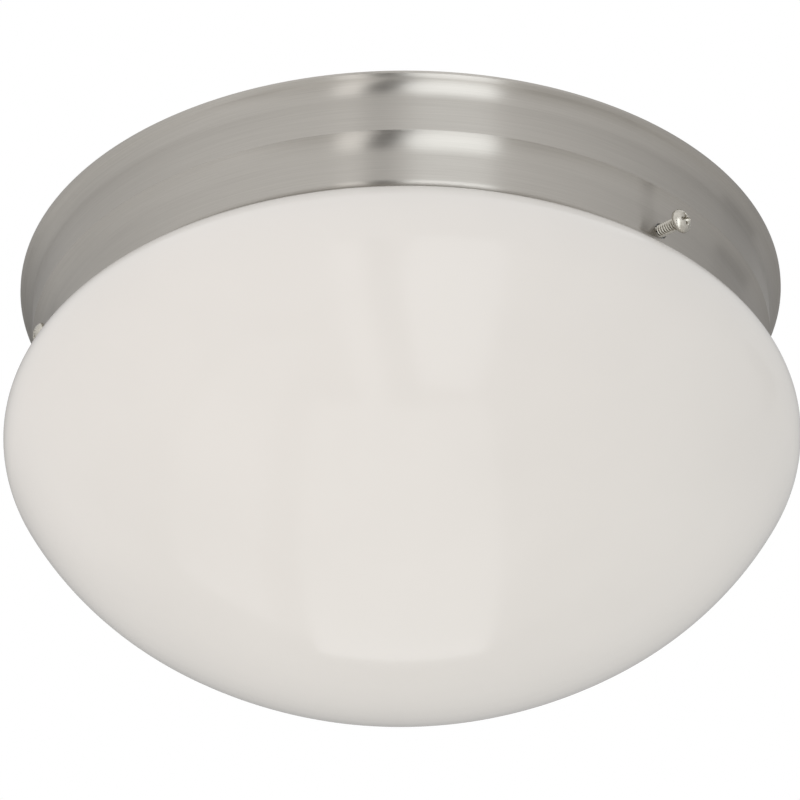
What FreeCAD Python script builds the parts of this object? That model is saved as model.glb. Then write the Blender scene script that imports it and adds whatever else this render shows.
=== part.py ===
"""Flush mount ceiling light: a stepped, brushed pan, an opal glass shade held by three screws, and two lamps.

Millimetres. +Z is up and the origin is the centre of the pan's rim, in the plane of the ceiling, so every
piece hangs below z = 0 and its place is given as a depth below the ceiling.
"""
import FreeCAD, Part
import math
import os
import Sketcher

Vector = FreeCAD.Vector

# Driving sizes. Each one is a cell of the sheet under the same name.
SIZES = {
    # pan: a spun shell with a flared rim, a first wall, a ledge and a second wall
    "pan_rim_radius": 141.5,
    "pan_rim_height": 1.0,
    "pan_rim_chamfer": 1.05,
    "pan_sheet": 0.8,
    "upper_cove_drop": 6.5,
    "upper_cove_run": 3.85,
    "ledge_depth": 22.4,
    "ledge_run": 3.95,
    "lower_cove_drop": 7.7,
    "lower_wall_height": 11.5,
    "lower_wall_draft": 5.0,
    "pan_bead_radius": 1.3,
    # back plate, its pad and what goes through it
    "plate_depth": 9.0,
    "plate_sheet": 0.8,
    "plate_corner_radius": 1.6,
    "plate_side_gap": 0.05,
    "slot_spacing": 79.4,
    "slot_length": 14.3,
    "slot_width": 4.8,
    "pad_edge_gap": 9.75,
    "pad_opening_radius": 51.0,
    "pad_ceiling_gap": 0.6,
    "entry_hole_radius": 11.1,
    "bushing_wall": 2.9,
    "bushing_flange_radius": 13.2,
    "bushing_flange": 1.5,
    "bushing_height": 3.6,
    "bushing_barb": 0.55,
    "fit_gap": 0.1,
    "ground_screw_x": 25.0,
    "ground_screw_y": 26.0,
    "ground_screw_radius": 2.4,
    "ground_screw_length": 6.5,
    "ground_head_radius": 4.3,
    "ground_head_height": 3.2,
    # lampholders on their brackets
    "lamp_spread": 34.0,
    "lamp_depth": 48.0,
    "holder_back": 62.4,
    "holder_base_radius": 15.5,
    "holder_base_length": 12.0,
    "holder_cup_radius": 18.5,
    "holder_length": 42.0,
    "holder_cavity_radius": 14.0,
    "holder_rounding": 2.0,
    "shell_sheet": 0.45,
    "shell_length": 26.0,
    "shell_eye_radius": 6.2,
    "shell_gap": 0.05,
    "contact_radius": 4.5,
    "contact_height": 2.6,
    "bracket_sheet": 1.2,
    "bracket_width": 14.0,
    "bracket_foot": 23.0,
    "bracket_below_axis": 9.0,
    "bracket_bend": 1.4,
    "bracket_screw_offset": 5.0,
    "bracket_screw_radius": 1.7,
    "bracket_screw_length": 8.0,
    "bracket_screw_head_radius": 3.1,
    "bracket_screw_head": 2.0,
    "rivet_radius": 1.6,
    "rivet_head_radius": 3.1,
    "rivet_head": 1.1,
    "rivet_inset": 7.0,
    "rivet_pitch": 10.0,
    # lamps, measured from the tip of the lamp's contact
    "lamp_contact_gap": 0.2,
    "lamp_contact_radius": 4.5,
    "lamp_contact_height": 1.6,
    "lamp_insulator_radius": 9.4,
    "lamp_insulator_height": 3.0,
    "lamp_cap_radius": 13.0,
    "lamp_cap_shoulder": 2.4,
    "lamp_cap_end": 25.0,
    "lamp_cap_sheet": 0.5,
    "lamp_neck_radius": 12.35,
    "lamp_neck_start": 8.0,
    "lamp_neck_end": 28.0,
    "lamp_bulb_radius": 30.0,
    "lamp_length": 110.0,
    "lamp_glass": 0.9,
    # opal shade: neck, lip, and tangent arcs down to the pole
    "shade_overhang": 4.2,
    "shade_equator_depth": 65.3,
    "shade_glass": 3.2,
    "shade_shoulder_radius": 24.2,
    "shade_side_radius": 30.0,
    "shade_side_angle": 27.96,
    "shade_lower_radius": 119.3,
    "shade_lower_angle": 51.42,
    "shade_neck_gap": 12.85,
    "shade_neck_height": 9.9,
    "shade_lip": 2.0,
    "shade_lip_height": 3.45,
    "shade_lip_rounding": 0.4,
    # screws that hold the shade, in nuts welded inside the pan
    "fitter_azimuth": 44.4,
    "fitter_depth": 36.6,
    "fitter_screw_radius": 2.41,
    "fitter_screw_length": 12.7,
    "fitter_tip_chamfer": 0.25,
    "fitter_head_radius": 4.4,
    "fitter_head_height": 3.1,
    "fitter_hole_radius": 2.9,
    "fitter_running_gap": 0.05,
    "fitter_backed_out": 9.3,
    "fitter_lip_gap": 0.3,
    "fitter_nut_side": 6.6,
    "fitter_nut_height": 2.6,
    # leads inside the pan and the connectors that join them
    "lead_radius": 1.2,
    "lead_insertion": 4.0,
    "lead_hole_gap": 0.15,
    "lead_offset": 10.5,
    "lead_behind_holder": 9.0,
    "lead_spacing": 3.2,
    "connector_radius": 6.5,
    "connector_tip_radius": 4.4,
    "connector_length": 22.0,
    "connector_mouth": 22.0,
    "connector_plate_gap": 0.2,
}

FITTER_SCREWS = 3
SKETCH_AXIS_POINT = (-1, 1)


class Size:
    """A length that knows its value and the expression that gives it from the sheet."""

    def __init__(self, value, text):
        self.value = value
        self.text = text

    @staticmethod
    def of(other):
        return other if isinstance(other, Size) else Size(float(other), repr(float(other)))

    def __add__(self, other):
        other = Size.of(other)
        return Size(self.value + other.value, f"({self.text} + {other.text})")

    def __sub__(self, other):
        other = Size.of(other)
        return Size(self.value - other.value, f"({self.text} - {other.text})")

    def __mul__(self, other):
        other = Size.of(other)
        return Size(self.value * other.value, f"({self.text} * {other.text})")

    def __truediv__(self, other):
        other = Size.of(other)
        return Size(self.value / other.value, f"({self.text} / {other.text})")

    def __neg__(self):
        return Size(-self.value, f"(-1 * {self.text})")

    __radd__ = __add__
    __rmul__ = __mul__

    def __rsub__(self, other):
        return Size.of(other) - self


def sine(angle):
    return Size(math.sin(math.radians(angle.value)), f"sin({angle.text})")


def cosine(angle):
    return Size(math.cos(math.radians(angle.value)), f"cos({angle.text})")


def root(size):
    return Size(math.sqrt(size.value), f"sqrt({size.text})")


doc = FreeCAD.newDocument("ceiling_light")
sheet = doc.addObject("Spreadsheet::Sheet", "Sizes")
for row, (name, value) in enumerate(SIZES.items(), 1):
    sheet.set(f"A{row}", name)
    sheet.set(f"B{row}", str(value))
    sheet.setAlias(f"B{row}", name)
doc.recompute()


class Sheet:
    """Reads a driving size as a Size, so that sums of sizes are written as plain arithmetic."""

    def __getattr__(self, name):
        return Size(float(sheet.get(name)), f"Sizes.{name}")


S = Sheet()
NOTHING = Size.of(0)


# ---------------------------------------------------------------- helpers
class Arc:
    """An edge of an outline that is an arc of this radius, turning left or right to its end point."""

    def __init__(self, radius, turns_left):
        self.radius = Size.of(radius)
        self.turns_left = turns_left


def arc_centre(start, end, radius, turns_left):
    """The centre of the short arc from start to end, to the left of the chord if the arc turns left."""
    middle = (start + end) * 0.5
    half = (end - start) * 0.5
    reach = math.sqrt(max(radius * radius - half.Length ** 2, 0.0))
    left = Vector(-half.y, half.x, 0).normalize()
    return middle + left * (reach if turns_left else -reach)


def draw_outline(sketch, outline):
    """Draws a closed outline of (x, y) Size pairs, each pair followed by an Arc where the next edge is one."""
    points, arcs = [], {}
    for item in outline:
        if isinstance(item, Arc):
            arcs[len(points) - 1] = item
        else:
            points.append(item)
    places = [Vector(Size.of(x).value, Size.of(y).value, 0) for x, y in points]
    ends = []
    for index, start in enumerate(places):
        end = places[(index + 1) % len(places)]
        bend = arcs.get(index)
        if bend is None:
            edge = sketch.addGeometry(Part.LineSegment(start, end), False)
            ends.append((edge, 1, 2))
            continue
        centre = arc_centre(start, end, bend.radius.value, bend.turns_left)
        angles = [math.atan2(p.y - centre.y, p.x - centre.x) for p in (start, end)]
        if not bend.turns_left:
            angles.reverse()
        if angles[1] < angles[0]:
            angles[1] += 2 * math.pi
        circle = Part.Circle(centre, Vector(0, 0, 1), bend.radius.value)
        edge = sketch.addGeometry(Part.ArcOfCircle(circle, *angles), False)
        ends.append((edge, 1, 2) if bend.turns_left else (edge, 2, 1))
        bind(sketch, Sketcher.Constraint("Radius", edge, bend.radius.value), bend.radius)
    for index, (edge, start, end) in enumerate(ends):
        following = ends[(index + 1) % len(ends)]
        sketch.addConstraint(Sketcher.Constraint("Coincident", edge, end, following[0], following[1]))
    for (edge, start, end), (x, y) in zip(ends, points):
        bind_point(sketch, edge, start, Size.of(x), Size.of(y))


def bind(sketch, constraint, size):
    number = sketch.addConstraint(constraint)
    if size.text.find("Sizes.") >= 0:
        sketch.setExpression(f"Constraints[{number}]", size.text)


def bind_point(sketch, edge, end, x, y):
    """Ties a point to the sketch's origin, always by a length that is positive."""
    for kind, size in (("DistanceX", x), ("DistanceY", y)):
        if abs(size.value) < 1e-9:
            line = -2 if kind == "DistanceX" else -1
            sketch.addConstraint(Sketcher.Constraint("PointOnObject", edge, end, line))
        elif size.value > 0:
            bind(sketch, Sketcher.Constraint(kind, *SKETCH_AXIS_POINT, edge, end, size.value), size)
        else:
            bind(sketch, Sketcher.Constraint(kind, edge, end, *SKETCH_AXIS_POINT, -size.value), -size)


def new_body(label):
    body = doc.addObject("PartDesign::Body", label)
    body.Label = label
    return body


def new_sketch(body, role, name):
    sketch = body.newObject("Sketcher::SketchObject", name)
    plane = [item for item in body.Origin.OriginFeatures if item.Role == role][0]
    sketch.AttachmentSupport = [(plane, "")]
    sketch.MapMode = "FlatFace"
    return sketch


def revolved(label, outline):
    """A body turned about its own Z axis from an outline of (radius, height) points."""
    body = new_body(label)
    sketch = new_sketch(body, "XZ_Plane", label + "_profile")
    draw_outline(sketch, outline)
    turn = body.newObject("PartDesign::Revolution", label + "_turn")
    turn.Profile = sketch
    turn.ReferenceAxis = (sketch, ["V_Axis"])
    turn.Angle = 360
    doc.recompute()
    return body


def circle_in(sketch, x, y, radius):
    x, y, radius = Size.of(x), Size.of(y), Size.of(radius)
    ring = sketch.addGeometry(Part.Circle(Vector(x.value, y.value, 0), Vector(0, 0, 1), radius.value), False)
    bind(sketch, Sketcher.Constraint("Radius", ring, radius.value), radius)
    bind_point(sketch, ring, 3, x, y)


def cut_through(body, name, role, draw, depth=None, reverse=False):
    """Pockets what draw(sketch) draws on an origin plane, through everything both ways or to a depth."""
    before = body.Shape.Volume
    sketch = new_sketch(body, role, name + "_outline")
    draw(sketch)
    pocket = body.newObject("PartDesign::Pocket", name)
    pocket.Profile = sketch
    if depth is None:
        pocket.Type = 1
        pocket.Midplane = True
    else:
        pocket.Reversed = reverse
        pocket.Length = depth.value
        pocket.setExpression("Length", depth.text)
    doc.recompute()
    if not body.Shape.Volume < before - 0.5:
        raise RuntimeError(f"{name} cut nothing")


def place(obj, x, y, z, yaw=0, pitch=0, roll=0):
    """Binds a Placement: a point, then a turn about X (roll), Y (pitch) and Z (yaw), in degrees."""
    x, y, z, yaw, pitch, roll = (Size.of(item) for item in (x, y, z, yaw, pitch, roll))
    obj.setExpression(
        "Placement",
        f"placement(vector({x.text}; {y.text}; {z.text}); rotation({yaw.text}; {pitch.text}; {roll.text}))",
    )


def group(label, members):
    """One node that holds several separate solids."""
    holder = doc.addObject("Part::Compound", label)
    holder.Label = label
    holder.Links = members
    return holder


def under_ceiling(outline):
    """Turns an outline of (radius, depth) into one of (radius, height)."""
    return [item if isinstance(item, Arc) else (item[0], -Size.of(item[1])) for item in outline]


nodes = []

# ---------------------------------------------------------------- pan
# Both coves are hollow seen from outside. An arc that ends along a wall leaning by the draft has the radius
# chord squared / (2 * the chord's part square to the wall).
draft_cos = cosine(S.lower_wall_draft)
draft_sin = sine(S.lower_wall_draft)
rim_foot_radius = S.pan_rim_radius - S.pan_rim_chamfer
rim_foot_depth = S.pan_rim_height + S.pan_rim_chamfer
upper_wall_radius = rim_foot_radius - S.upper_cove_run
upper_wall_depth = rim_foot_depth + S.upper_cove_drop
upper_cove = (S.upper_cove_run * S.upper_cove_run + S.upper_cove_drop * S.upper_cove_drop) / (
    S.upper_cove_run * 2
)
upper_cove_centre = upper_wall_radius + upper_cove
# the inner end of the cove lies on the ray from its centre through the outer end
rim_inner_radius = upper_cove_centre - (upper_cove_centre - rim_foot_radius) * (
    (upper_cove + S.pan_sheet) / upper_cove
)
rim_inner_depth = upper_wall_depth - S.upper_cove_drop * ((upper_cove + S.pan_sheet) / upper_cove)
inner_wall_radius = upper_wall_radius - S.pan_sheet

lower_wall_radius = upper_wall_radius - S.ledge_run
lower_wall_depth = S.ledge_depth + S.lower_cove_drop
lower_cove = (S.ledge_run * S.ledge_run + S.lower_cove_drop * S.lower_cove_drop) / (
    (S.ledge_run * draft_cos - S.lower_cove_drop * draft_sin) * 2
)
lower_cove_x = lower_wall_radius + lower_cove * draft_cos
lower_cove_depth = lower_wall_depth + lower_cove * draft_sin
ledge_inner_depth = lower_cove_depth - root(
    (lower_cove + S.pan_sheet) * (lower_cove + S.pan_sheet)
    - (lower_cove_x - inner_wall_radius) * (lower_cove_x - inner_wall_radius)
)
bead_start_depth = lower_wall_depth + S.lower_wall_height - S.pan_bead_radius
wall_slope = draft_sin / draft_cos
bead_radius_outer = lower_wall_radius - (bead_start_depth - lower_wall_depth) * wall_slope
pan_bottom_depth = bead_start_depth + S.pan_bead_radius

pan = revolved("pan", under_ceiling([
    (rim_inner_radius, NOTHING),
    (S.pan_rim_radius, NOTHING),
    (S.pan_rim_radius, S.pan_rim_height),
    (rim_foot_radius, rim_foot_depth),
    Arc(upper_cove, True),
    (upper_wall_radius, upper_wall_depth),
    (upper_wall_radius, S.ledge_depth),
    Arc(lower_cove, True),
    (lower_wall_radius, lower_wall_depth),
    (bead_radius_outer, bead_start_depth),
    Arc(S.pan_bead_radius, False),
    (bead_radius_outer - S.pan_bead_radius, pan_bottom_depth),
    (bead_radius_outer - S.pan_bead_radius, pan_bottom_depth - S.pan_sheet),
    Arc(S.pan_bead_radius - S.pan_sheet, True),
    (bead_radius_outer - S.pan_sheet, bead_start_depth),
    (lower_wall_radius - S.pan_sheet * draft_cos, lower_wall_depth - S.pan_sheet * draft_sin),
    Arc(lower_cove + S.pan_sheet, False),
    (inner_wall_radius, ledge_inner_depth),
    (inner_wall_radius, upper_wall_depth),
    Arc(upper_cove + S.pan_sheet, False),
    (rim_inner_radius, rim_inner_depth),
]))
# The fitter screws stand square to the lower wall, evenly round the pan.
fitter_wall_radius = lower_wall_radius - (S.fitter_depth - lower_wall_depth) * wall_slope
fitter_pitch = 360.0 / FITTER_SCREWS


def fitter_turn(number):
    """Yaw that takes +X to the screw's way out, from an azimuth counted from -Y towards +X."""
    return S.fitter_azimuth + number * fitter_pitch - 90.0


def on_fitter_axis(obj, number, reach):
    """Stands an object's Z on a fitter screw's axis, this far out from the wall's outer face."""
    turn = fitter_turn(number)
    out = fitter_wall_radius + reach * draft_cos
    place(obj, out * cosine(turn), out * sine(turn), -S.fitter_depth - reach * draft_sin,
          turn, 90.0 + S.lower_wall_draft)


drills = []
for number in range(FITTER_SCREWS):
    drill = doc.addObject("Part::Cylinder", f"fitter_drill_{number + 1}")
    drill.setExpression("Radius", S.fitter_hole_radius.text)
    drill.setExpression("Height", (S.pan_sheet * 6).text)
    on_fitter_axis(drill, number, -S.pan_sheet * 3)
    drills.append(drill)
drill_set = doc.addObject("Part::Compound", "fitter_drills")
drill_set.Links = drills
drilled_pan = doc.addObject("Part::Cut", "drilled_pan")
drilled_pan.Base = pan
drilled_pan.Tool = drill_set
pan.Label = "pan_blank"
drilled_pan.Label = "pan"
nodes.append(drilled_pan)

# ---------------------------------------------------------------- back plate
plate_radius = inner_wall_radius - S.plate_side_gap
plate_under = S.plate_depth + S.plate_sheet
# the flange's foot stands on the inside of the pan's ledge
flange_foot = ledge_inner_depth - S.fit_gap
back_plate = revolved("back_plate", under_ceiling([
    (NOTHING, S.plate_depth),
    (NOTHING, plate_under),
    (plate_radius - S.plate_corner_radius, plate_under),
    Arc(S.plate_corner_radius - S.plate_sheet, False),
    (plate_radius - S.plate_sheet, S.plate_depth + S.plate_corner_radius),
    (plate_radius - S.plate_sheet, flange_foot),
    (plate_radius, flange_foot),
    (plate_radius, S.plate_depth + S.plate_corner_radius),
    Arc(S.plate_corner_radius, True),
    (plate_radius - S.plate_corner_radius, S.plate_depth),
]))

rivet_places = []
for side in (1, -1):
    for step in range(2):
        rivet_x = S.holder_back - S.rivet_inset - S.rivet_pitch * step
        rivet_places.append((rivet_x * side, S.lamp_spread * -side))


def draw_plate_holes(sketch):
    circle_in(sketch, NOTHING, NOTHING, S.entry_hole_radius)
    circle_in(sketch, S.ground_screw_x, S.ground_screw_y, S.ground_screw_radius + S.fit_gap)
    for x, y in rivet_places:
        circle_in(sketch, x, y, S.rivet_radius + S.fit_gap)
    half_straight = (S.slot_length - S.slot_width) / 2
    half_width = S.slot_width / 2
    for side in (1, -1):
        centre = S.slot_spacing / 2 * side
        draw_outline(sketch, [
            (centre - half_straight, -half_width),
            (centre + half_straight, -half_width),
            Arc(half_width, True),
            (centre + half_straight + half_width, NOTHING),
            Arc(half_width, True),
            (centre + half_straight, half_width),
            (centre - half_straight, half_width),
            Arc(half_width, True),
            (centre - half_straight - half_width, NOTHING),
            Arc(half_width, True),
        ])


cut_through(back_plate, "plate_holes", "XY_Plane", draw_plate_holes)
nodes.append(back_plate)

# ---------------------------------------------------------------- insulation pad, bushing and ground screw
pad_radius = plate_radius - S.pad_edge_gap
insulation_pad = revolved("insulation_pad", under_ceiling([
    (S.pad_opening_radius, S.pad_ceiling_gap),
    (pad_radius, S.pad_ceiling_gap),
    (pad_radius, S.plate_depth),
    (S.pad_opening_radius, S.plate_depth),
]))
rivet_room = S.rivet_head + S.fit_gap
pad_reliefs = []
for index, (x, y) in enumerate(rivet_places):
    relief = doc.addObject("Part::Cylinder", f"pad_relief_{index + 1}")
    relief.setExpression("Radius", (S.rivet_head_radius + S.fit_gap * 5).text)
    relief.setExpression("Height", (rivet_room * 2).text)
    place(relief, x, y, -S.plate_depth - rivet_room)
    pad_reliefs.append(relief)
relief_set = doc.addObject("Part::Compound", "pad_reliefs")
relief_set.Links = pad_reliefs
relieved_pad = doc.addObject("Part::Cut", "relieved_pad")
relieved_pad.Base = insulation_pad
relieved_pad.Tool = relief_set
insulation_pad.Label = "pad_blank"
relieved_pad.Label = "insulation_pad"
nodes.append(relieved_pad)

bushing_radius = S.entry_hole_radius - S.fit_gap
bushing_bore = bushing_radius - S.bushing_wall
barb_depth = S.plate_depth - S.fit_gap
nodes.append(revolved("wire_bushing", under_ceiling([
    (bushing_bore, S.plate_depth - S.bushing_height),
    (bushing_radius, S.plate_depth - S.bushing_height),
    (bushing_radius + S.bushing_barb, barb_depth),
    (bushing_radius, barb_depth),
    (bushing_radius, plate_under),
    (S.bushing_flange_radius, plate_under),
    (S.bushing_flange_radius, plate_under + S.bushing_flange),
    (bushing_bore, plate_under + S.bushing_flange),
])))

ground_screw = revolved("ground_screw", [
    (NOTHING, -S.ground_head_height),
    (S.ground_head_radius, -S.ground_head_height),
    (S.ground_head_radius, NOTHING),
    (S.ground_screw_radius, NOTHING),
    (S.ground_screw_radius, S.ground_screw_length),
    (NOTHING, S.ground_screw_length),
])
place(ground_screw, S.ground_screw_x, S.ground_screw_y, -plate_under)
nodes.append(ground_screw)

# ---------------------------------------------------------------- lampholders, one at each side, mouths facing in
LAMP_SIDES = (1, -1)


def on_lamp_axis(obj, side, along):
    """Stands an object's Z on a lamp's axis, this far from the holder's back towards its mouth.

    The lamp on side +1 points to -X and lies towards -Y. The other is the same turned half round.
    """
    yaw = 180.0 if side > 0 else 0.0
    place(obj, (S.holder_back - along) * side, S.lamp_spread * -side, -S.lamp_depth, yaw, 90.0)


holder_step = S.holder_base_length + S.holder_rounding
cavity_floor = S.holder_base_length


def lampholder(number, side):
    body = revolved(f"lampholder_{number}", [
        (NOTHING, NOTHING),
        (S.holder_base_radius, NOTHING),
        (S.holder_base_radius, S.holder_base_length - S.holder_rounding),
        (S.holder_cup_radius, holder_step),
        (S.holder_cup_radius, S.holder_length - S.holder_rounding),
        Arc(S.holder_rounding, True),
        (S.holder_cup_radius - S.holder_rounding, S.holder_length),
        (S.holder_cavity_radius, S.holder_length),
        (S.holder_cavity_radius, cavity_floor),
        (NOTHING, cavity_floor),
    ])

    def draw_lead_holes(sketch):
        for way in (1, -1):
            circle_in(sketch, NOTHING, S.lead_offset * way, S.lead_radius + S.lead_hole_gap)

    def draw_screw_holes(sketch):
        for way in (1, -1):
            circle_in(sketch, S.bracket_screw_offset * way, NOTHING, S.bracket_screw_radius + S.fit_gap)

    cut_through(body, f"lead_holes_{number}", "XY_Plane", draw_lead_holes,
                S.lead_insertion + S.lead_hole_gap, True)
    cut_through(body, f"screw_holes_{number}", "XY_Plane", draw_screw_holes,
                S.bracket_screw_length - S.bracket_sheet + S.fit_gap, True)
    on_lamp_axis(body, side, NOTHING)
    nodes.append(body)


def screw_shell(number, side):
    outer = S.holder_cavity_radius - S.shell_gap
    body = revolved(f"screw_shell_{number}", [
        (S.shell_eye_radius, NOTHING),
        (outer, NOTHING),
        (outer, S.shell_length),
        (outer - S.shell_sheet, S.shell_length),
        (outer - S.shell_sheet, S.shell_sheet),
        (S.shell_eye_radius, S.shell_sheet),
    ])
    on_lamp_axis(body, side, cavity_floor)
    nodes.append(body)


def centre_contact(number, side):
    body = revolved(f"centre_contact_{number}", [
        (NOTHING, NOTHING),
        (S.contact_radius, NOTHING),
        (S.contact_radius, S.contact_height / 2),
        (S.contact_radius / 2, S.contact_height),
        (NOTHING, S.contact_height),
    ])
    on_lamp_axis(body, side, cavity_floor)
    nodes.append(body)


def bracket(number, side):
    """An angle of strip steel: a foot under the plate, and a leg down behind the holder.

    It is drawn in the body's XZ plane for the holder on side +1, from the back of the holder at x = 0.
    """
    drop = S.lamp_depth + S.bracket_below_axis - plate_under
    body = new_body(f"holder_bracket_{number}")
    sketch = new_sketch(body, "XZ_Plane", f"bracket_profile_{number}")
    inner_bend = S.bracket_bend
    outer_bend = S.bracket_bend + S.bracket_sheet
    draw_outline(sketch, [
        (-S.bracket_foot, NOTHING),
        (-S.bracket_foot, -S.bracket_sheet),
        (-inner_bend, -S.bracket_sheet),
        Arc(inner_bend, False),
        (NOTHING, -outer_bend),
        (NOTHING, -drop),
        (S.bracket_sheet, -drop),
        (S.bracket_sheet, -outer_bend),
        Arc(outer_bend, True),
        (-inner_bend, NOTHING),
    ])
    strip = body.newObject("PartDesign::Pad", f"bracket_strip_{number}")
    strip.Profile = sketch
    strip.Midplane = True
    strip.setExpression("Length", S.bracket_width.text)
    doc.recompute()

    def draw_rivet_holes(drawing):
        for step in range(2):
            circle_in(drawing, -S.rivet_inset - S.rivet_pitch * step, NOTHING, S.rivet_radius + S.fit_gap)

    def draw_screw_holes(drawing):
        # the YZ plane's sketch has the body's Y across and Z up
        for way in (1, -1):
            height = plate_under - S.lamp_depth + S.bracket_screw_offset * way
            circle_in(drawing, NOTHING, height, S.bracket_screw_radius + S.fit_gap)

    cut_through(body, f"bracket_rivet_holes_{number}", "XY_Plane", draw_rivet_holes)
    cut_through(body, f"bracket_screw_holes_{number}", "YZ_Plane", draw_screw_holes)
    yaw = 0.0 if side > 0 else 180.0
    place(body, S.holder_back * side, S.lamp_spread * -side, -plate_under, yaw)
    nodes.append(body)


def holder_screws():
    """Two pan-head screws through each bracket's leg into the holder's back."""
    members = []
    for side in LAMP_SIDES:
        for way in (1, -1):
            screw = revolved(f"holder_screw_{len(members) + 1}", [
                (NOTHING, -S.bracket_screw_head),
                (S.bracket_screw_head_radius * 0.7, -S.bracket_screw_head),
                (S.bracket_screw_head_radius, -S.bracket_screw_head * 0.5),
                (S.bracket_screw_head_radius, NOTHING),
                (S.bracket_screw_radius, NOTHING),
                (S.bracket_screw_radius, S.bracket_screw_length),
                (NOTHING, S.bracket_screw_length),
            ])
            yaw = 180.0 if side > 0 else 0.0
            place(screw, (S.holder_back + S.bracket_sheet) * side, S.lamp_spread * -side,
                  S.bracket_screw_offset * way - S.lamp_depth, yaw, 90.0)
            members.append(screw)
    nodes.append(group("holder_screws", members))


def bracket_rivets():
    """Rivets through the plate and each bracket's foot, with a head on both sides."""
    grip = S.plate_sheet + S.bracket_sheet
    members = []
    for x, y in rivet_places:
        rivet = revolved(f"bracket_rivet_{len(members) + 1}", [
            (NOTHING, S.rivet_head),
            (NOTHING, -grip - S.rivet_head),
            (S.rivet_head_radius * 0.6, -grip - S.rivet_head),
            (S.rivet_head_radius, -grip),
            (S.rivet_radius, -grip),
            (S.rivet_radius, NOTHING),
            (S.rivet_head_radius, NOTHING),
            (S.rivet_head_radius * 0.6, S.rivet_head),
        ])
        place(rivet, x, y, -S.plate_depth)
        members.append(rivet)
    nodes.append(group("bracket_rivets", members))


# ---------------------------------------------------------------- lamps
lamp_seat = cavity_floor + S.contact_height + S.lamp_contact_gap
cap_start = S.lamp_contact_height + S.lamp_insulator_height
bulb_centre = S.lamp_length - S.lamp_bulb_radius
neck_run = bulb_centre - S.lamp_neck_end
# the neck's hollow arc is tangent to the straight neck and to the ball of the bulb
neck_arc = (neck_run * neck_run / (S.lamp_bulb_radius - S.lamp_neck_radius)
            - S.lamp_bulb_radius - S.lamp_neck_radius) / 2


def bulb_joint(glass):
    """Where the neck's arc meets the bulb, this far inside the outer surface."""
    share = (S.lamp_bulb_radius - glass) / (S.lamp_bulb_radius + neck_arc)
    return (S.lamp_neck_radius + neck_arc) * share, bulb_centre - neck_run * share


def lamp(number, side):
    glass = S.lamp_glass
    inner_bulb = S.lamp_bulb_radius - glass
    inner_neck = S.lamp_neck_radius - glass
    envelope = revolved(f"lamp_envelope_{number}", [
        (inner_neck, S.lamp_neck_start),
        (S.lamp_neck_radius, S.lamp_neck_start),
        (S.lamp_neck_radius, S.lamp_neck_end),
        Arc(neck_arc, False),
        bulb_joint(NOTHING),
        Arc(S.lamp_bulb_radius, True),
        (S.lamp_bulb_radius, bulb_centre),
        Arc(S.lamp_bulb_radius, True),
        (NOTHING, S.lamp_length),
        (NOTHING, S.lamp_length - glass),
        Arc(inner_bulb, False),
        (inner_bulb, bulb_centre),
        Arc(inner_bulb, False),
        bulb_joint(glass),
        Arc(neck_arc + glass, True),
        (inner_neck, S.lamp_neck_end),
    ])
    cap_inner = S.lamp_cap_radius - S.lamp_cap_sheet
    insulator_top = cap_start + S.lamp_cap_sheet
    shoulder = cap_start + S.lamp_cap_shoulder
    cap = revolved(f"lamp_cap_{number}", [
        (S.lamp_insulator_radius, cap_start),
        (S.lamp_cap_radius, shoulder),
        (S.lamp_cap_radius, S.lamp_cap_end),
        (cap_inner, S.lamp_cap_end),
        (cap_inner, shoulder + S.lamp_cap_sheet),
        (S.lamp_insulator_radius, insulator_top),
    ])
    insulator = revolved(f"lamp_insulator_{number}", [
        (NOTHING, S.lamp_contact_height),
        (S.lamp_contact_radius, S.lamp_contact_height),
        (S.lamp_insulator_radius, cap_start),
        (S.lamp_insulator_radius, insulator_top),
        (NOTHING, insulator_top),
    ])
    contact = revolved(f"lamp_contact_{number}", [
        (NOTHING, NOTHING),
        (S.lamp_contact_radius * 0.6, NOTHING),
        (S.lamp_contact_radius, S.lamp_contact_height / 2),
        (S.lamp_contact_radius, S.lamp_contact_height),
        (NOTHING, S.lamp_contact_height),
    ])
    for body in (envelope, cap, insulator, contact):
        on_lamp_axis(body, side, lamp_seat)
        nodes.append(body)


for number, side in enumerate(LAMP_SIDES, 1):
    bracket(number, side)
    lampholder(number, side)
    screw_shell(number, side)
    centre_contact(number, side)
    lamp(number, side)
holder_screws()
bracket_rivets()

# ---------------------------------------------------------------- shade
# Outside, from the neck down: a fillet, the shoulder, the side, the lower side and the base, all tangent.
# The neck keeps its distance from the pan's lower wall, and the side stands out past the pan's rim.
shade_radius = S.pan_rim_radius + S.shade_overhang
shade_neck_radius = lower_wall_radius - S.shade_neck_gap
shoulder_x = shade_radius - S.shade_shoulder_radius
shoulder_top = S.shade_equator_depth - S.shade_shoulder_radius
fillet = shoulder_x - shade_neck_radius
neck_top = shoulder_top - fillet - S.shade_neck_height
side_x = shade_radius - S.shade_side_radius
side_cos, side_sin = cosine(S.shade_side_angle), sine(S.shade_side_angle)
lower_cos, lower_sin = cosine(S.shade_lower_angle), sine(S.shade_lower_angle)
side_to_lower = S.shade_lower_radius - S.shade_side_radius
lower_x = side_x - side_to_lower * side_cos
lower_depth = S.shade_equator_depth - side_to_lower * side_sin
# the base is centred on the axis, on the line through the lower side's centre
base_radius = S.shade_lower_radius + lower_x / lower_cos
base_depth = lower_depth - lower_x / lower_cos * lower_sin


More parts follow.
